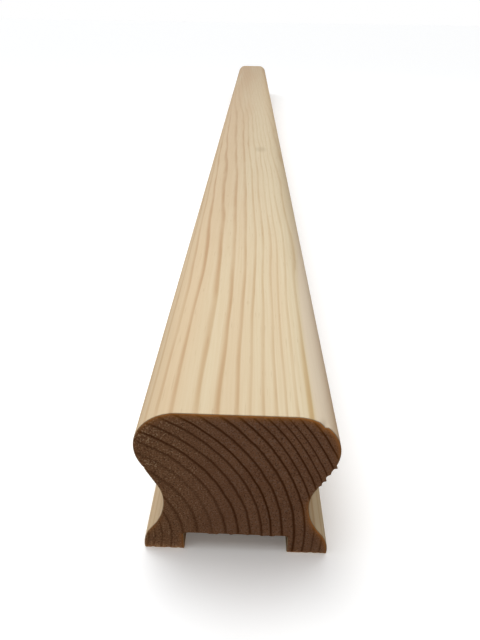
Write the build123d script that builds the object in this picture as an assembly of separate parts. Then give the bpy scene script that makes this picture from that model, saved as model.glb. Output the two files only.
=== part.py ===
from build123d import *
from math import atan2, degrees
import os

# Stair handrail: one length of planed softwood, moulded to a grooved section.
# The section stands on two feet, with a groove between them that takes the balusters. Above the
# feet a cove on each side gives the fingers a hold, and the head is flat on top and well rounded
# at its sides. Both ends are sawn square.
# The rail lies along Y, centred on the origin, with its feet on the XY plane. Sizes in millimetres.

# Overall: the head and the feet are equally wide, and the height is the sum of the steps below
rail_length = 1200.0
rail_width = 59.0

# Head: its sides roll over at one radius, which carries on underneath to a short flat
head_radius = 13.25
head_flat = 10.4
head_drop = 21.1

# Cove: how far the neck stands in from the full width
cove_depth = 7.3

# Feet: an upright side, a rounded shoulder, and a short flat that runs up into the cove
foot_side = 1.5
foot_radius = 14.0
foot_flat = 1.6
foot_rise = 21.15
foot_ease = 0.5

# Groove: as wide as the balusters and the fillets between them, with a little play
groove_width = 33.0
groove_depth = 7.8
groove_ease = 0.8

half_width = rail_width / 2
neck_half = half_width - cove_depth
neck_height = foot_side + foot_rise
head_height = neck_height + head_drop


def ogee(side_radius, flat, step):
    """Cove radius, and slope of the flat in degrees, for one side of the neck.

    A rounded side starts upright at the full width. The cove ends upright at the neck, cove_depth
    further in and one step away in height, and the flat touches both arcs. So the flat and the sum
    of the two radii are the short sides of a right triangle, whose long side joins the centres.
    Its size gives the sum of the radii, and its lie gives the slope of the flat.
    """
    radii = (cove_depth**2 + step**2 - flat**2) / (2 * cove_depth)
    slope = atan2(step, radii - cove_depth) - atan2(flat, radii)
    return radii - side_radius, degrees(slope)


lower_cove, foot_slope = ogee(foot_radius, foot_flat, foot_rise)
upper_cove, head_slope = ogee(head_radius, head_flat, head_drop)

# Right half of the moulded outline, from the foot up, in the plane of the section
foot_centre = (half_width - foot_radius, foot_side)
lower_centre = (neck_half + lower_cove, neck_height)
upper_centre = (neck_half + upper_cove, neck_height)
head_centre = (half_width - head_radius, head_height)

foot_arc = CenterArc(foot_centre, foot_radius, 0, foot_slope)
lower_arc = CenterArc(lower_centre, lower_cove, 180 + foot_slope, -foot_slope)
upper_arc = CenterArc(upper_centre, upper_cove, 180, -head_slope)
head_arc = CenterArc(head_centre, head_radius, -head_slope, 90 + head_slope)

bottom_middle = (0, 0)
bottom_corner = (half_width, 0)
top_middle = (0, head_height + head_radius)
base = Polyline(top_middle, bottom_middle, bottom_corner, foot_arc @ 0)
lower_flat = Line(foot_arc @ 1, lower_arc @ 0)
upper_flat = Line(upper_arc @ 1, head_arc @ 0)
top_flat = Line(head_arc @ 1, top_middle)

half = make_face([base, foot_arc, lower_flat, lower_arc, upper_arc, upper_flat, head_arc, top_flat])
section = half + mirror(half, Plane.YZ)

# The groove is ploughed between the feet, and the cutter leaves its roof's corners slightly round
groove = Rectangle(groove_width, groove_depth, align=(Align.CENTER, Align.MIN))
groove = fillet(groove.vertices().group_by(Axis.Y)[-1], groove_ease)
section -= groove
section = fillet(section.vertices().group_by(Axis.Y)[0], foot_ease)

handrail = extrude(Plane.XZ * section, rail_length / 2, both=True)
handrail.label = "handrail"

print(f"height {top_middle[1]:.2f}, cove radii {lower_cove:.2f} and {upper_cove:.2f},")
print(f"flats at {foot_slope:.1f} and {head_slope:.1f} degrees from upright")

os.makedirs("parts", exist_ok=True)
export_step(handrail, "parts/handrail.step")
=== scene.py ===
from math import atan2, degrees, radians
import bpy
import numpy as np
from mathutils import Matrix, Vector, geometry


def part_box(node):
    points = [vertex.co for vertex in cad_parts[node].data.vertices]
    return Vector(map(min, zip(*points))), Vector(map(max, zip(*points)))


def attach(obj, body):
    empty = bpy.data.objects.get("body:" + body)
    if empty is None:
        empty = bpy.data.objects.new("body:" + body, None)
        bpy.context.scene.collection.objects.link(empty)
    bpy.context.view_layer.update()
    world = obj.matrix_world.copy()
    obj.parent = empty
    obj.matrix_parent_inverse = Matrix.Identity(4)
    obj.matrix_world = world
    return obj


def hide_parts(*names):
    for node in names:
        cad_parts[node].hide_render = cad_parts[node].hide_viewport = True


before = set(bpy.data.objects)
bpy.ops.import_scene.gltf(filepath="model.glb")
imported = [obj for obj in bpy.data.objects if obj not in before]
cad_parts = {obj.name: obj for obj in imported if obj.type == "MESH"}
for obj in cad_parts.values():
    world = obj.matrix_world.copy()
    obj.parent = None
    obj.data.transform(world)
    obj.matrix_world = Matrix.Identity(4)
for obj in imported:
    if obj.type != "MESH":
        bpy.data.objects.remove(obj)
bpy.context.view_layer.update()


# The moulded outline
# A stair rail is run through a moulding planer, whose cutters leave a rounded head, a cove on each
# side for the fingers, and a groove between two feet. Sizes are in millimetres across the grain.
mm = 0.001
low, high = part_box("handrail")
half_width = high[0] / mm
half_length = high[1] / mm
rail_height = high[2] / mm
head_radius, head_flat, head_drop = 13.25, 10.4, 21.1
foot_radius, foot_flat, foot_rise = 14.0, 1.6, 21.15
cove_depth = 7.3
foot_ease, groove_ease = 0.5, 0.8
groove_half, groove_depth = 16.5, 7.8
neck_half = half_width - cove_depth
head_height = rail_height - head_radius
neck_height = head_height - head_drop
foot_side = neck_height - foot_rise
outline_step, fewest_parts = 0.75, 5
rounding = 1e-6


def ogee(side_radius, flat, step):
    """Cove radius and slope of the flat in degrees, for a side that rolls over into the neck.

    The flat and the sum of the two radii are the short sides of a right triangle, and its long
    side joins the two centres.
    """
    radii = (cove_depth**2 + step**2 - flat**2) / (2 * cove_depth)
    return radii - side_radius, degrees(atan2(step, radii - cove_depth) - atan2(flat, radii))


def arc(x, z, radius, start, turn):
    """Points round a centre: a start angle plus even parts of the turn, both in degrees."""
    parts = max(fewest_parts, round(abs(radians(turn)) * radius / outline_step))
    angle = np.radians(start + turn * np.linspace(0, 1, parts + 1))
    return np.stack([x + radius * np.cos(angle), z + radius * np.sin(angle)], 1)


def moulded_outline():
    """Closed outline, from the groove round the right side: arcs, mirrored for the left side, with
    the straight stretches between them cut into even parts no longer than outline_step."""
    lower_cove, foot_slope = ogee(foot_radius, foot_flat, foot_rise)
    upper_cove, head_slope = ogee(head_radius, head_flat, head_drop)
    right = np.concatenate([
        arc(groove_half - groove_ease, groove_depth - groove_ease, groove_ease, 90, -90),
        arc(groove_half + foot_ease, foot_ease, foot_ease, 180, 90),
        arc(half_width - foot_ease, foot_ease, foot_ease, 270, 90),
        arc(half_width - foot_radius, foot_side, foot_radius, 0, foot_slope),
        arc(neck_half + lower_cove, neck_height, lower_cove, 180 + foot_slope, -foot_slope),
        arc(neck_half + upper_cove, neck_height, upper_cove, 180, -head_slope),
        arc(half_width - head_radius, head_height, head_radius, -head_slope, 90 + head_slope),
    ])
    corners = np.concatenate([right, right[::-1] * [-1, 1]])
    stretch = np.roll(corners, -1, axis=0) - corners
    parts = np.ceil(np.linalg.norm(stretch, axis=1) / outline_step - rounding).astype(int)
    first = np.repeat(np.arange(len(corners)), parts)
    share = (np.arange(parts.sum()) - np.repeat(np.cumsum(parts) - parts, parts)) / parts[first]
    return corners[first] + stretch[first] * share[:, None]


# Where each point lies along the outline, the whole way round it, and the way outwards
outline = moulded_outline()
ahead = np.roll(outline, -1, axis=0) - outline
along = np.concatenate([[0], np.cumsum(np.linalg.norm(ahead, axis=1))])
girth = along[-1]
chord = ahead + np.roll(ahead, 1, axis=0)
outward = np.stack([chord[:, 1], -chord[:, 0]], 1) / np.linalg.norm(chord, axis=1)[:, None]


# Growth rings
# The stick was sawn from beside the heart of the tree, so the pith runs outside it, low on the
# left, and sinks along the length. Each year's ring is pale at first and ends in a dark line.
knot_centre = np.array([10.0, -270.0, 57.0])
knot_reach = np.array([4.0, 26.0, 7.0])
knot_swirl = 0.7
# The rings' widths from the pith outwards, and how strong each one's dark line is
ring_widths = [
    12.5, 3.7, 3.0, 1.8, 2.4, 3.1, 3.8, 5.0, 4.4, 4.1, 3.8, 3.8, 3.6, 3.0, 3.6, 3.8, 3.2, 2.7,
    2.7, 2.3, 2.0, 2.5, 2.6, 2.8, 2.6, 2.9, 2.5, 3.1, 2.7, 2.9, 3.2, 2.8, 3.0, 2.9, 3.1,
]
line_strengths = [
    0.5, 0.5, 0.5, 0.5, 0.5, 0.55, 0.6, 0.5, 0.35, 0.65, 0.85, 0.75, 0.8, 1.0, 0.85, 0.9, 0.95, 0.9,
    0.95, 0.85, 0.85, 0.95, 1.0, 0.8, 0.9, 0.7, 0.85, 1.0, 0.75, 0.9, 0.8, 0.95, 0.85, 0.9, 0.8,
]
ring_edges = np.concatenate([[0], np.cumsum(ring_widths)])
# The pith's course: stations along the stick, and its place across and up at each
pith_course = [
    (-600, -46.4, 6.8), (-550, -46.5, 7.0), (-500, -44.5, 5.8), (-475, -42.9, 5.2),
    (-450, -43.4, 4.6), (-400, -42.8, 3.3), (-350, -41.8, 2.2), (-300, -42.9, 1.5),
    (-200, -42.5, -0.4), (-100, -42.5, -1.4), (0, -44.8, -3.4), (150, -44.2, -6.6),
    (300, -46.3, -8.2), (450, -47.8, -11.9), (600, -46.5, -14.1),
]
pith_stations, pith_across, pith_up = zip(*pith_course)
pith_smoothing, pith_samples = 20.0, 9
# The lines are weaker in the right foot
weak_from, weak_below, weak_over, weak_by = 20.0, 14.0, 4.0, 0.4


def from_pith(x, y, z):
    """Offsets of points from the pith, across and up. Its course is the mean of its stations over a
    short stretch to either side."""
    nearby = y[..., None] + np.linspace(-pith_smoothing, pith_smoothing, pith_samples)
    across = np.interp(nearby, pith_stations, pith_across).mean(-1)
    up = np.interp(nearby, pith_stations, pith_up).mean(-1)
    return x - across, z - up


def growth(x, y, z):
    """Years between the pith and a point, and the strength of the dark line nearest outside it.

    Both are the distance from the pith, read against the ring edges. A pin knot pushes the rings
    round it outwards, by an amount that falls off as a bell.
    """
    off = (np.stack([x, y, z], -1) - knot_centre) / knot_reach
    distance = np.hypot(*from_pith(x, y, z)) - knot_swirl * np.exp(-(off**2).sum(-1))
    year = np.interp(distance, ring_edges, np.arange(len(ring_edges)))
    in_foot = np.clip((x - weak_from) / weak_over, 0, 1) * np.clip((weak_below - z) / weak_over, 0, 1)
    return year, np.interp(distance, ring_edges[1:], line_strengths) * (1 - weak_by * in_foot)


# The sawn ends
# A cross-cut saw took both ends off, the near one a shade out of square. It broke the edges, tore
# splinters from the head's underside and left a ragged lip on the groove and the feet.
cut_lean = np.tan(radians(0.61))
lean_fade = 12.0
edge_break = 0.22
# Each damage is its place across and up, and how far it stands out of the surface
near_splinters = [(29.0, 38.2, 0.8), (26.3, 33.2, 0.7), (25.4, 31.0, 0.4), (27.9, 35.9, 0.35)]
far_splinters = [(-28.4, 37.0, 0.5), (-26.0, 32.6, 0.4)]
chips = [
    (24.9, 54.0, -0.6), (24.1, 54.6, -0.35), (23.1, 55.2, -0.2), (27.2, 34.6, -0.3),
    (-27.6, 36.0, -0.25),
]
# Half the width of each kind along the outline, and its reach behind the cut
splinter_size, chip_size, fibre_size = (0.7, 1.6), (0.8, 2.4), (0.8, 2.0)
groove_fibres, foot_fibres = 14, 6
groove_fringe, right_bite, left_bite = 0.42, -0.35, -0.3
shortest_fibre, fibre_spread = 0.3, (0.6, 1.3)
corner_gap = 1.0
rng = np.random.default_rng(7)


def torn(spots, half, reach):
    """Damage at one end as columns: place along the outline, height outwards, half width, reach."""
    spots = np.array(spots)
    place = along[np.argmin(np.hypot(*(outline[:, None] - spots[:, :2]).T), axis=1)]
    return np.stack([place, spots[:, 2], np.full(len(spots), half), np.full(len(spots), reach)], 1)


def fuzz(count, left, right, z, height):
    """Torn fibres at random places on a level stretch of the outline, as damage columns."""
    x = rng.uniform(left, right, count)
    heights = rng.uniform(shortest_fibre, 1, count) * height
    ragged = torn(np.stack([x, np.full(count, z), heights], 1), *fibre_size)
    ragged[:, 2:] *= rng.uniform(*fibre_spread, (count, 2))
    return ragged


def ragged_end():
    """The lip of one end: fibres that hang into the groove, and bites out of both feet."""
    foot_from, foot_to = groove_half + corner_gap, half_width - corner_gap
    groove_to = groove_half - corner_gap
    return np.concatenate([
        fuzz(groove_fibres, -groove_to, groove_to, groove_depth, groove_fringe),
        fuzz(foot_fibres, foot_from, foot_to, 0, right_bite),
        fuzz(foot_fibres, -foot_to, -foot_from, 0, left_bite),
    ])


near_damage = np.concatenate([
    torn(near_splinters, *splinter_size),
    torn(chips, *chip_size),
    ragged_end(),
])
far_damage = np.concatenate([torn(far_splinters, *splinter_size), ragged_end()])


def stand_out(depth, damage):
    """Height outwards of the surface at each depth behind an end: a quarter round for the broken
    edge, and a tent for each damage, which dies out along the outline and along its reach."""
    inside = np.clip(edge_break - depth, 0, None)
    rounded = np.sqrt(np.clip(edge_break**2 - inside**2, 0, None)) - edge_break
    place, height, half, reach = damage.T
    apart = np.abs(along[:-1, None] - place)
    tent = np.clip(1 - np.minimum(apart, girth - apart) / half, 0, None) * height
    return rounded[:, None] + np.clip(1 - depth[:, None] / reach, 0, None) @ tent.T


# The long surface
# The moulded outline carried from end to end. Planing leaves it a few hundredths of a millimetre
# uneven, and the steps along it are finest at the ends, where the edges are broken.
station_step = 8.0
first_gap, gap_growth = 0.06, 1.32
gap_count = int(np.log(station_step / first_gap) / np.log(gap_growth)) + 1
from_end = np.concatenate([[0], np.cumsum(first_gap * gap_growth ** np.arange(gap_count))])
middle_half = half_length - from_end[-1]
middle = np.linspace(-1, 1, round(2 * middle_half / station_step) + 1)[1:-1]
stations = np.concatenate([
    from_end - half_length,
    middle * middle_half,
    half_length - from_end[::-1],
])
uneven = 0.03
# Each wave of the unevenness: times that it turns round the outline, length along, and start
planing_waves = [(3, 410, 0.4), (5, 267, 2.1), (8, 171, 4.4), (13, 97, 1.3)]


def long_surface():
    """Grid of stations by outline points, each moved along its outward normal.

    The move is the slow unevenness of planing, a sum of long waves, plus what stands out at the
    ends. The near stations lean with the saw cut, less and less behind it.
    """
    round_outline = 2 * np.pi * along[:-1] / girth
    down_length = 2 * np.pi * stations[:, None]
    wave = sum(
        np.sin(turns * round_outline + down_length / length + start)
        for turns, length, start in planing_waves
    )
    move = uneven * (wave / len(planing_waves) - 1)
    move += stand_out(stations + half_length, near_damage)
    move += stand_out(half_length - stations, far_damage)
    x = np.clip(outline[:, 0] + move * outward[:, 0], -half_width, half_width)
    z = np.clip(outline[:, 1] + move * outward[:, 1], 0, rail_height)
    fade = np.exp(-(stations + half_length) / lean_fade)[:, None]
    y = stations[:, None] + cut_lean * (half_width - x) * fade
    return np.stack([x, y, z], -1)


surface = long_surface()
rows, columns = surface.shape[:2]
corner = np.arange(rows * columns).reshape(rows, columns)
beside = np.roll(corner, -1, axis=1)
long_faces = np.stack([corner[:-1], corner[1:], beside[1:], beside[:-1]], -1).reshape(-1, 4)


# End grain
# Behind the saw the ends are rough: the soft pale wood tears lower than the dark lines, and more
# so on the left, where the rings meet the cut at a slant. The blade leaves faint scores.
clear_of_edge = 0.4
late_from = 0.8
tear_depth, least_tear = 0.03, 0.2
score_depth, score_pitch, score_slant = 0.015, 1.9, 0.35
least_rise, weld = 1e-9, 1e-7
# Rows of even triangles lie this share of their sides apart
grid_step, row_rise, jitter = 0.7, 0.866, 0.12


def within(flat, spots):
    """Which spots lie within a closed outline: those with an odd number of its edges on the right."""
    start, stop = flat, np.roll(flat, -1, axis=0)
    spans = (start[:, 1] > spots[:, None, 1]) != (stop[:, 1] > spots[:, None, 1])
    rise = stop[:, 1] - start[:, 1]
    rise = np.where(np.abs(rise) < least_rise, least_rise, rise)
    meets = start[:, 0] + (spots[:, None, 1] - start[:, 1]) / rise * (stop[:, 0] - start[:, 0])
    return (spans & (meets > spots[:, None, 0])).sum(1) % 2 == 1


def end_surface(edge, into):
    """Points and triangles that close one end: a grid of triangles inside the edge's outline.

    Each inner point keeps the place of the cut and sinks along into, which is 1 at the near end
    and -1 at the far one, by how far the wood tore: deeper between the dark lines, deeper on the
    left, plus the blade's even scores.
    """
    flat = edge[:, [0, 2]]
    count_x = int(2 * half_width / grid_step)
    count_z = int(rail_height / (grid_step * row_rise))
    column, row = np.meshgrid(np.arange(count_x), np.arange(count_z))
    x = (column + 0.5 * (row % 2)) * grid_step - half_width
    spots = np.stack([x, row * grid_step * row_rise], -1).reshape(-1, 2)
    spots = spots + rng.uniform(-jitter, jitter, spots.shape)
    near_edge = np.hypot(*(spots[:, None] - flat).T).min(0) < clear_of_edge
    spots = spots[within(flat, spots) & ~near_edge]
    both = np.concatenate([flat, spots]).tolist()
    number = np.arange(len(flat))
    sides = np.stack([number, np.roll(number, -1)], 1).tolist()
    triangles = geometry.delaunay_2d_cdt(both, sides, [], 1, weld)[2]
    x, z = spots.T
    y = np.full(len(spots), -into * half_length)
    if into > 0:
        y += cut_lean * (half_width - x)
    late = growth(x, y, z)[0] % 1 > late_from
    rough = 1 + np.clip(-x / half_width, 0, 1)
    depth = tear_depth * ~late * rough * rng.uniform(least_tear, 1, len(x))
    depth += score_depth * (1 + np.sin(2 * np.pi * (x * score_slant + z) / score_pitch))
    return np.stack([x, y + into * depth, z], -1), np.array(triangles)


near_points, near_faces = end_surface(surface[0], 1)
far_points, far_faces = end_surface(surface[-1], -1)


def joined(faces, edge_start, points_start):
    """An end's triangles with the edge's points taken from the long surface."""
    return np.where(faces < columns, faces + edge_start, faces - columns + points_start)


near_start = rows * columns
far_start = near_start + len(near_points)
near_faces = joined(near_faces, 0, near_start)
far_faces = joined(far_faces, near_start - columns, far_start)[:, ::-1]
points = np.concatenate([surface.reshape(-1, 3), near_points, far_points])
faces = long_faces.tolist() + near_faces.tolist() + far_faces.tolist()
sharpest_round = 50

stick = bpy.data.meshes.new("moulded_stick")
stick.from_pydata(points * mm, [], faces)
piece = bpy.data.objects.new("moulded_stick", stick)
bpy.context.scene.collection.objects.link(piece)
stick.polygons.foreach_set("use_smooth", np.ones(len(faces), bool))
end_of_stick = np.arange(len(faces)) >= len(long_faces)
stick.polygons.foreach_set("material_index", end_of_stick.astype(np.int32))
stick.set_sharp_from_angle(angle=radians(sharpest_round))


# What the wood carries at each point
# The materials below read the ring that a point lies in and the strength of its line, which shows
# best where the surface runs along the rings. They also read how near the end's upper edge a point
# is, where a warm glow is painted: painted light for the light that comes through the thin wood.
# Painted light: the glow's width in millimetres, its share at the far end, and how it grows as the
# edge faces up
rim_width, far_rim = 0.87, 0.3
rim_light, rim_full, rim_least = (0.3, 0.95), 0.95, 0.1
slant_from, slant_to, shown_from, shown_to = 0.5, 0.9, 0.65, 1.05
thick_until, thin_from = 60.0, 80.0
thin_start, thin_end, thin_first, thin_last = -500.0, -380.0, 0.6, 0.42
faint_start, faint_end, faint_share = -250.0, 0.0, 0.47
faces_light = np.interp(outward @ rim_light, [0.0, rim_full], [rim_least, 1.0])


def carry(name, values):
    """Stores one number for each point of the stick."""
    stick.attributes.new(name, "FLOAT", "POINT").data.foreach_set("value", values.astype(np.float32))


def painted_rim_glow(spots, edge):
    """Painted glow: falls off inwards from the outline, as strong there as the edge faces the light.
    """
    apart = np.hypot(*(spots[:, None, [0, 2]] - edge[:, [0, 2]]).T)
    return faces_light[apart.argmin(0)] * np.exp(-apart.min(0) / rim_width)


def shown_lines():
    """How well the dark lines show on the long surface: best where it runs along the rings, less
    far out from the pith, where the dark wood is thin, and less in the far half of the stick."""
    x, y, z = np.moveaxis(surface, -1, 0)
    across, up = from_pith(x, y, z)
    distance = np.hypot(across, up)
    slant = np.abs(across * outward[:, 0] + up * outward[:, 1]) / distance
    thin_share = np.interp(y, [thin_start, thin_end], [thin_first, thin_last])
    thin = 1 - (1 - thin_share) * np.interp(distance, [thick_until, thin_from], [0, 1])
    faint = np.interp(y, [faint_start, faint_end], [1, faint_share])
    return np.interp(slant, [slant_from, slant_to], [shown_from, shown_to]) * thin * faint


# Painted light: the warm glow at each point, full at the near end's edge and weaker at the far end
painted_edge_glow = np.linspace(1, far_rim, rows)[:, None] * faces_light
painted_near_glow = painted_rim_glow(near_points, surface[0])
painted_rim_light = np.concatenate([painted_edge_glow.ravel(), painted_near_glow, far_rim * painted_rim_glow(far_points, surface[-1])])
year, strength = growth(*points.T)
strength[:rows * columns] *= shown_lines().ravel()
carry("year", year)
carry("line", strength)
carry("painted_rim_light", painted_rim_light)

# The map that the looks can be baked on, in shares of its side
map_width, map_height, map_margin = 0.63, 0.98, 0.01
ends_gap, end_width, near_bottom, far_bottom = 0.025, 0.33, 0.03, 0.53


def unrolled_map():
    """A place on the map for each face corner: the long surface unrolled on the left, and the two
    ends beside it, each drawn larger than the long surface."""
    end_scale = end_width / (2 * half_width)
    ends_left = map_width + ends_gap
    place_u = (1 - along / girth) * map_width + map_margin
    place_v = (stations + half_length) / (2 * half_length) * map_height + map_margin
    u = np.stack([place_u[:-1], place_u[:-1], place_u[1:], place_u[1:]], -1)
    u = np.broadcast_to(u, (rows - 1, columns, 4))
    v = np.stack([place_v[:-1], place_v[1:], place_v[1:], place_v[:-1]], -1)
    v = np.broadcast_to(v[:, None], (rows - 1, columns, 4))
    maps = [np.stack([u, v], -1).reshape(-1, 2)]
    for triangles, side, bottom in ((near_faces, 1, near_bottom), (far_faces, -1, far_bottom)):
        flat = points[triangles.ravel()][:, [0, 2]] * [side, 1]
        maps.append((flat + [half_width, 0]) * end_scale + [ends_left, bottom])
    return np.concatenate(maps)


own_map = stick.uv_layers.new(name="OFBake")
own_map.uv.foreach_set("vector", unrolled_map().astype(np.float32).ravel())


# Planed pine, long grain
# Fresh pine off the planer: cream sapwood, pinkish tan lines where each year's growth ended, and a
# dull gloss from the knives. The lines are broad where the surface runs nearly along the rings.
half_year = 0.5
patch_core = 0.1
# Settings that many of the nodes share, and the span that most of the noise's values lie in
soft = {"interpolation_type": "SMOOTHSTEP"}
product, total = {"operation": "MULTIPLY"}, {"operation": "ADD"}
in_colour = {"data_type": "RGBA"}
span = (0.3, 0.7)


def srgb(code):
    """A hex colour as the linear red, green, blue and alpha that the shader takes."""
    share = np.array([int(code[i:i + 2], 16) for i in (1, 3, 5)]) / 255
    linear = np.where(share <= 0.04045, share / 12.92, ((share + 0.055) / 1.055) ** 2.4)
    return (*linear.tolist(), 1.0)


def add(tree, kind, inputs, **settings):
    """One node: settings are its properties, and inputs name or number its sockets, each with a
    value or with the output of another node that is linked to it."""
    node = tree.nodes.new("ShaderNode" + kind)
    for name, value in settings.items():
        setattr(node, name, value)
    for name, value in inputs.items():
        if isinstance(value, bpy.types.NodeSocket):
            tree.links.new(value, node.inputs[name])
        else:
            node.inputs[name].default_value = value
    return node.outputs


def new_material(name):
    """An empty material with its shader, and its surface joined to the output."""
    made = bpy.data.materials.new(name)
    made.use_nodes = True
    made.node_tree.nodes.clear()
    shader = made.node_tree.nodes.new("ShaderNodeBsdfPrincipled")
    add(made.node_tree, "OutputMaterial", {"Surface": shader.outputs[0]})
    return made, made.node_tree, shader


def speckle(tree, place, grain, detail=2.0):
    """Noise whose grains are so many millimetres across the stick and so many along it."""
    across, lengthwise = 1 / (grain[0] * mm), 1 / (grain[1] * mm)
    stretched = add(tree, "Mapping", {"Vector": place, "Scale": (across, lengthwise, across)})[0]
    return add(tree, "TexNoise", {"Vector": stretched, "Scale": 1.0, "Detail": detail})[0]


def soft_steps(tree, *steps):
    """The product of soft steps. In each, a value goes from one place to another and brings its
    share from the first of two shares to the second."""
    reached = 1.0
    for value, start, stop, first, last in steps:
        step = add(tree, "MapRange", {0: value, 1: start, 2: stop, 3: first, 4: last}, **soft)[0]
        reached = add(tree, "Math", {0: reached, 1: step}, **product)[0]
    return reached


def laid_over(tree, colour, layers):
    """A colour with others laid over it in turn, each by its share."""
    for share, tint in layers:
        colour = add(tree, "Mix", {0: share, 6: colour, 7: tint}, **in_colour)[2]
    return colour


def dark_line(tree, place, waver, starts, full, ends, gone):
    """How dark the year's late wood is: from nothing in the spring wood it grows towards the ring's
    edge and stops there. The four places and the line's waver are shares of a year."""
    spread = {0: speckle(tree, place, waver_grain, 1.0), 1: waver_span[0], 2: waver_span[1]}
    swing = add(tree, "MapRange", {**spread, 3: -waver, 4: waver})[0]
    year = add(tree, "Attribute", {}, attribute_name="year")["Fac"]
    shifted = add(tree, "Math", {0: year, 1: swing}, **total)[0]
    shifted = add(tree, "Math", {0: shifted, 1: half_year}, **total)[0]
    part = add(tree, "Math", {0: shifted}, operation="FRACT")[0]
    drawn = soft_steps(
        tree,
        (part, starts - half_year, full - half_year, 0.0, 1.0),
        (part, ends - half_year, gone - half_year, 1.0, 0.0),
    )
    strength = add(tree, "Attribute", {}, attribute_name="line")["Fac"]
    return add(tree, "Math", {0: drawn, 1: strength}, **product)[0]


def patch(tree, place, centre, reach, share):
    """A share at a centre, falling softly to nothing at its reach along each axis."""
    centre, stretch = [c * mm for c in centre], [1 / (r * mm) for r in reach]
    centred = add(tree, "VectorMath", {0: place, 1: centre}, operation="SUBTRACT")[0]
    scaled = add(tree, "VectorMath", {0: centred, 1: stretch}, **product)[0]
    away = add(tree, "VectorMath", {0: scaled}, operation="LENGTH")["Value"]
    return soft_steps(tree, (away, patch_core, 1.0, share, 0.0))


# Grains in millimetres, across and along. Pine's fibres are 0.03 by 3 mm and its resin canals
# 0.2 mm wide, so both are drawn coarser, as the streaks that show to the eye.
waver_grain, mottle_grain, drift_grain = (7.0, 70.0), (8.0, 45.0), (14.0, 420.0)
fibre_grain, canal_grain = (0.55, 32.0), (0.5, 9.0)
waver_span, mottle_shares = (0.2, 0.8), (0.65, 1.2)
planed_line = {"waver": 0.18, "starts": 0.58, "full": 0.88, "ends": 0.93, "gone": 1.06}
drift_edge, drift_lean = 20.0, 0.15
canal_span = (0.72, 0.8)
fibre_share, canal_share, smudge_share = 0.25, 0.2, 0.3
resin_share, highlight_share, shade_share = 0.6, 0.6, 0.45
smudge_reach = (6.5, 15.0, 9.0)
# Years from the pith over which the ring with resin begins and ends, and the painted highlight begins
resin_begins, resin_ends, highlight_begins = (22.5, 22.8), (22.95, 23.1), (23.0, 23.3)
resin_centre, resin_reach = (21.0, -610.0, 55.0), (6.0, 75.0, 12.0)
# A patch of painted shade on the head's right side by the near end, where the head turns from the
# light
shade_centre, shade_reach = (30.0, -612.0, 46.0), (8.0, 80.0, 12.0)
# A painted cool highlight on the right shoulder by the near end: how far along it fades and how high
# it begins and is full
highlight_until, highlight_gone = -500.0, -400.0
highlight_above, highlight_full = 40.0, 52.0
# The knives' marks are 2 mm apart and a few thousandths deep. They are drawn 6 mm apart, which
# takes this scale, and deeper, so that they show.
knife_scale, relief_depth = 50.0, 0.03
line_rise, knife_rise = 0.6, 0.15
spring_roughness, line_roughness, wood_specular = 0.6, 0.5, 0.15


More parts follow.
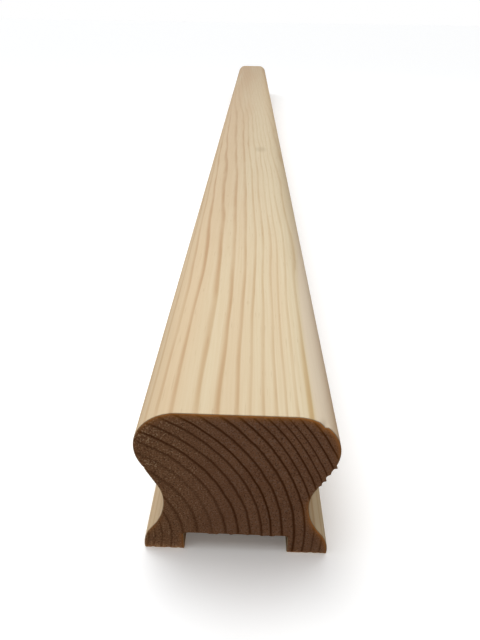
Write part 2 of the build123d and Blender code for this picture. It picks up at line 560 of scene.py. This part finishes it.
def planed_pine():
    """Rings, broad drifts of cream and pink, fine fibres, resin canals and a pin knot's smudge. By
    the near end's right edge, one ring is yellow with resin, a painted highlight whitens the wood
    outside it, and painted shade browns a patch below. Painted shade also makes the stick a little
    darker and warmer towards its far end."""
    made, tree, shader = new_material("planed_pine_long_grain")
    place = add(tree, "TexCoord", {})["Object"]
    x, y, z = add(tree, "SeparateXYZ", {0: place})
    year = add(tree, "Attribute", {}, attribute_name="year")["Fac"]
    mottle = soft_steps(tree, (speckle(tree, place, mottle_grain), *span, *mottle_shares))
    late = add(tree, "Math", {0: dark_line(tree, place, **planed_line), 1: mottle}, **product)[0]
    lean = soft_steps(tree, (x, -drift_edge * mm, drift_edge * mm, drift_lean, -drift_lean))
    drift = add(tree, "Math", {0: speckle(tree, place, drift_grain), 1: lean}, **total)[0]
    drift = soft_steps(tree, (drift, *span, 0.0, 1.0))
    spring = laid_over(tree, srgb("#CBBC9E"), [(drift, srgb("#C6B090"))])
    summer = laid_over(tree, srgb("#B0926A"), [(drift, srgb("#AC8A64"))])
    fibres = speckle(tree, place, fibre_grain, 3.0)
    canals = speckle(tree, place, canal_grain, 0.0)
    in_ring = soft_steps(
        tree,
        (year, *resin_begins, 0.0, 1.0),
        (year, *resin_ends, 1.0, 0.0),
    )
    resin = patch(tree, place, resin_centre, resin_reach, resin_share)
    resin = add(tree, "Math", {0: resin, 1: in_ring}, **product)[0]
    painted_highlight = soft_steps(
        tree,
        (year, *highlight_begins, 0.0, 1.0),
        (y, highlight_until * mm, highlight_gone * mm, highlight_share, 0.0),
        (z, highlight_above * mm, highlight_full * mm, 0.0, 1.0),
    )
    colour = laid_over(tree, spring, [
        (late, summer),
        (soft_steps(tree, (fibres, *span, 0.0, fibre_share)), srgb("#BCA37E")),
        (soft_steps(tree, (canals, *canal_span, 0.0, canal_share)), srgb("#997955")),
        (patch(tree, place, knot_centre, smudge_reach, smudge_share), srgb("#8F7A5C")),
        (resin, srgb("#B0905A")),
        # Painted light: a cool highlight on the right shoulder, then a patch of shade below it
        (painted_highlight, srgb("#D2C3B0")),
        (patch(tree, place, shade_centre, shade_reach, shade_share), srgb("#B48E64")),
    ])
    # Painted shade: the stick is darkened and warmed a little towards its far end, where less light
    # falls
    painted_far_shade = soft_steps(tree, (y, low[1], high[1], 0.0, 1.0))
    tint = {0: painted_far_shade, 6: colour, 7: srgb("#F5EBE3")}
    colour = add(tree, "Mix", tint, blend_type="MULTIPLY", **in_colour)[2]
    tree.links.new(colour, shader.inputs["Base Color"])
    roughness = add(tree, "MapRange", {0: late, 3: spring_roughness, 4: line_roughness})[0]
    tree.links.new(roughness, shader.inputs["Roughness"])
    shader.inputs["Specular IOR Level"].default_value = wood_specular
    height = fibres
    knives = add(tree, "TexWave", {"Vector": place, "Scale": knife_scale}, bands_direction="Y")[1]
    for form, share in ((late, line_rise), (knives, knife_rise)):
        raised = add(tree, "Math", {0: form, 1: share}, **product)[0]
        height = add(tree, "Math", {0: height, 1: raised}, **total)[0]
    relief = {"Height": height, "Strength": 1.0, "Distance": relief_depth * mm}
    tree.links.new(add(tree, "Bump", relief)[0], shader.inputs["Normal"])
    return made


# Sawn pine, end grain
# The cut ends soak up light between the open fibres, so the same wood is a dull brown there, with
# red-brown lines, pale specks of torn fibre on the left, and painted light along the upper edge: a
# warm glow for light that comes through the thin wood.
sawn_line = {"waver": 0.06, "starts": 0.66, "full": 0.86, "ends": 0.9, "gone": 1.04}
# The cut fibres are 0.03 mm across, so bundles of them are drawn, coarse enough to show
cut_grain, torn_grain = (0.4, 0.4), (0.5, 0.5)
cloud_grain, patch_grain = (9.0, 9.0), (5.0, 5.0)
dark_grain, pale_grain, torn_span, patch_span = (0.52, 0.3), (0.5, 0.68), (0.58, 0.7), (0.4, 0.6)
left_share, dark_share = 0.4, 0.7
speck_right, speck_left, speck_turn = 0.4, 0.6, 0.6
patch_shares = (0.15, 0.8)
torn_above, torn_full, torn_below = 10.0, 32.0, 0.3
rim_span = (0.02, 0.9)
cut_relief, cut_roughness, cut_specular = 0.06, 0.9, 0.12


def sawn_pine():
    """Rings, clouds of brown, a grain of cut fibres with pale specks, brighter torn ends in patches
    on the upper left, and the warm glow painted along the rim as light through the thin wood."""
    made, tree, shader = new_material("sawn_pine_end_grain")
    place = add(tree, "TexCoord", {})["Object"]
    x, _, z = add(tree, "SeparateXYZ", {0: place})
    left = soft_steps(tree, (x, 0.0, -half_width * mm, 0.0, 1.0))
    more_left = add(tree, "Math", {0: left, 1: left_share}, **product)[0]
    clouds = soft_steps(tree, (speckle(tree, place, cloud_grain), *span, 0.0, 1.0))
    grains = speckle(tree, place, cut_grain)
    on_left = add(tree, "MapRange", {0: left, 2: speck_turn, 3: speck_right, 4: speck_left})[0]
    specks = soft_steps(tree, (speckle(tree, place, torn_grain, 1.0), *pale_grain, 0.0, 1.0))
    specks = add(tree, "Math", {0: specks, 1: on_left}, **product)[0]
    speck_tint = laid_over(tree, srgb("#CBB2A1"), [(left, srgb("#D3B189"))])
    torn_ends = soft_steps(
        tree,
        (speckle(tree, place, torn_grain, 0.0), *torn_span, 0.0, 1.0),
        (speckle(tree, place, patch_grain, 1.0), *patch_span, *patch_shares),
        (z, torn_above * mm, torn_full * mm, torn_below, 1.0),
    )
    torn_ends = add(tree, "Math", {0: torn_ends, 1: left}, **product)[0]
    # Painted light: the rim's warm glow, standing for light through the thin wood
    painted_rim_light = add(tree, "Attribute", {}, attribute_name="painted_rim_light")["Fac"]
    painted_glow = add(tree, "MapRange", {0: painted_rim_light, 1: rim_span[0], 2: rim_span[1]})[0]
    colour = laid_over(tree, srgb("#B48B6F"), [
        (clouds, srgb("#AA8166")),
        (more_left, srgb("#AC8662")),
        (soft_steps(tree, (grains, *dark_grain, 0.0, dark_share)), srgb("#5E402E")),
        (specks, speck_tint),
        (torn_ends, srgb("#F2D9B8")),
        (dark_line(tree, place, **sawn_line), srgb("#643B16")),
        (painted_glow, srgb("#FFB362")),
    ])
    tree.links.new(colour, shader.inputs["Base Color"])
    shader.inputs["Roughness"].default_value = cut_roughness
    shader.inputs["Specular IOR Level"].default_value = cut_specular
    relief = {"Height": grains, "Strength": 1.0, "Distance": cut_relief * mm}
    tree.links.new(add(tree, "Bump", relief)[0], shader.inputs["Normal"])
    return made


stick.materials.append(planed_pine())
stick.materials.append(sawn_pine())
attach(piece, "root")
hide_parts("handrail")


# The studio
# The rail lies on a pale sheet that glows a little, in broad window light from behind and the left.
# Two soft boxes above the near end, a low lamp on the right and a dim light all round fill it in.
# Three cards that only the rail sees, a brown, a cream and a tan one, shade its end and its sides.
floor_half, card_half, card_front = 30.0, 1.5, -3.0
card_height = 0.0005
cards_meet = low[1] - 0.001
floor_glow = 0.1
matt_roughness, matt_specular = 0.9, 0.1


def level_sheet(name, left, right, front, back, height, colour):
    """A flat rectangle with a matt finish, and its material's shader and nodes."""
    corners = [(left, front), (right, front), (right, back), (left, back)]
    sheet = bpy.data.meshes.new(name)
    sheet.from_pydata([(x, y, height) for x, y in corners], [], [(0, 1, 2, 3)])
    made, tree, shader = new_material(name)
    shader.inputs["Base Color"].default_value = srgb(colour)
    shader.inputs["Roughness"].default_value = matt_roughness
    shader.inputs["Specular IOR Level"].default_value = matt_specular
    sheet.materials.append(made)
    laid = bpy.data.objects.new(name, sheet)
    bpy.context.scene.collection.objects.link(laid)
    return laid, tree, shader


def card(name, left, right, front, back, colour):
    """A card that tints only the rail: the camera and the lamps' shadows pass it by, and it is clear
    from below, so the floor under it stays as it is."""
    laid, tree, shader = level_sheet(name, left, right, front, back, card_height, colour)
    laid.visible_camera = False
    laid.visible_shadow = False
    from_below = add(tree, "NewGeometry", {})["Backfacing"]
    clear = add(tree, "BsdfTransparent", {})[0]
    one_sided = add(tree, "MixShader", {0: from_below, 1: shader.outputs[0], 2: clear})[0]
    tree.links.new(one_sided, tree.nodes["Material Output"].inputs["Surface"])


floor_sides = (-floor_half, floor_half, -floor_half, floor_half)
floor_shader = level_sheet("pale_floor", *floor_sides, 0.0, "#FFFFFF")[2]
floor_shader.inputs["Emission Color"].default_value = srgb("#FFFFFF")
floor_shader.inputs["Emission Strength"].default_value = floor_glow
card("brown_card", -card_half, card_half, card_front, cards_meet, "#3C2C20")
card("left_card", -card_half, 0.0, cards_meet, card_half, "#ECE1D2")
card("right_card", 0.0, card_half, cards_meet, card_half, "#A08E76")


def light(kind, name, place, aimed_at, strength, size, colour="#FFFFFF"):
    """A lamp at a place, turned to a point. Its size is in metres, or in degrees of sky."""
    lamp = bpy.data.lights.new(name, kind)
    lamp.energy = strength
    lamp.color = srgb(colour)[:3]
    if kind == "SUN":
        lamp.angle = radians(size)
    else:
        lamp.size = size
    stand = bpy.data.objects.new(name, lamp)
    stand.location = place
    stand.rotation_euler = (Vector(aimed_at) - Vector(place)).to_track_quat("-Z", "Y").to_euler()
    stand.visible_camera = False
    bpy.context.scene.collection.objects.link(stand)


light("SUN", "window_light", (-0.29, 0.5, 1.0), (0, 0, 0), 2.6, 100, "#EDF7FF")
light("AREA", "soft_box", (-0.1, -0.3, 0.9), (0, -0.42, 0), 2.0, 0.4)
light("AREA", "near_light", (-0.03, -0.55, 0.25), (0, -0.56, 0), 0.08, 0.12)
light("AREA", "side_light", (0.7, 0.2, 0.11), (0, 0.2, 0.03), 1.5, 0.2)

world = bpy.data.worlds.new("studio")
world.use_nodes = True
sky = world.node_tree
sky.nodes.clear()
all_round = add(sky, "Background", {"Color": srgb("#FFE9D4"), "Strength": 0.28})[0]
backdrop = add(sky, "Background", {"Color": srgb("#FFFFFF"), "Strength": 1.0})[0]
seen = add(sky, "LightPath", {})["Is Camera Ray"]
both = add(sky, "MixShader", {0: seen, 1: all_round, 2: backdrop})[0]
add(sky, "OutputWorld", {"Surface": both})
bpy.context.scene.world = world
bpy.context.scene.view_settings.view_transform = "Standard"


# The camera
# It looks along the rail from just above the near end. The focal length is the one at which the
# growth rings of the near end become true circles.
image_height, focal_pixels, sensor = 640, 516.9, 36.0
camera_place, camera_turn = (2.14, -707.06, 149.14), (59.777, -0.757, 1.367)
nearest_seen = 0.01
lens = bpy.data.cameras.new("camera")
lens.sensor_width = sensor
lens.lens = focal_pixels * sensor / image_height
lens.clip_start = nearest_seen
camera = bpy.data.objects.new("camera", lens)
camera.location = [c * mm for c in camera_place]
camera.rotation_euler = [radians(t) for t in camera_turn]
bpy.context.scene.collection.objects.link(camera)
bpy.context.scene.camera = camera

bpy.context.view_layer.update()
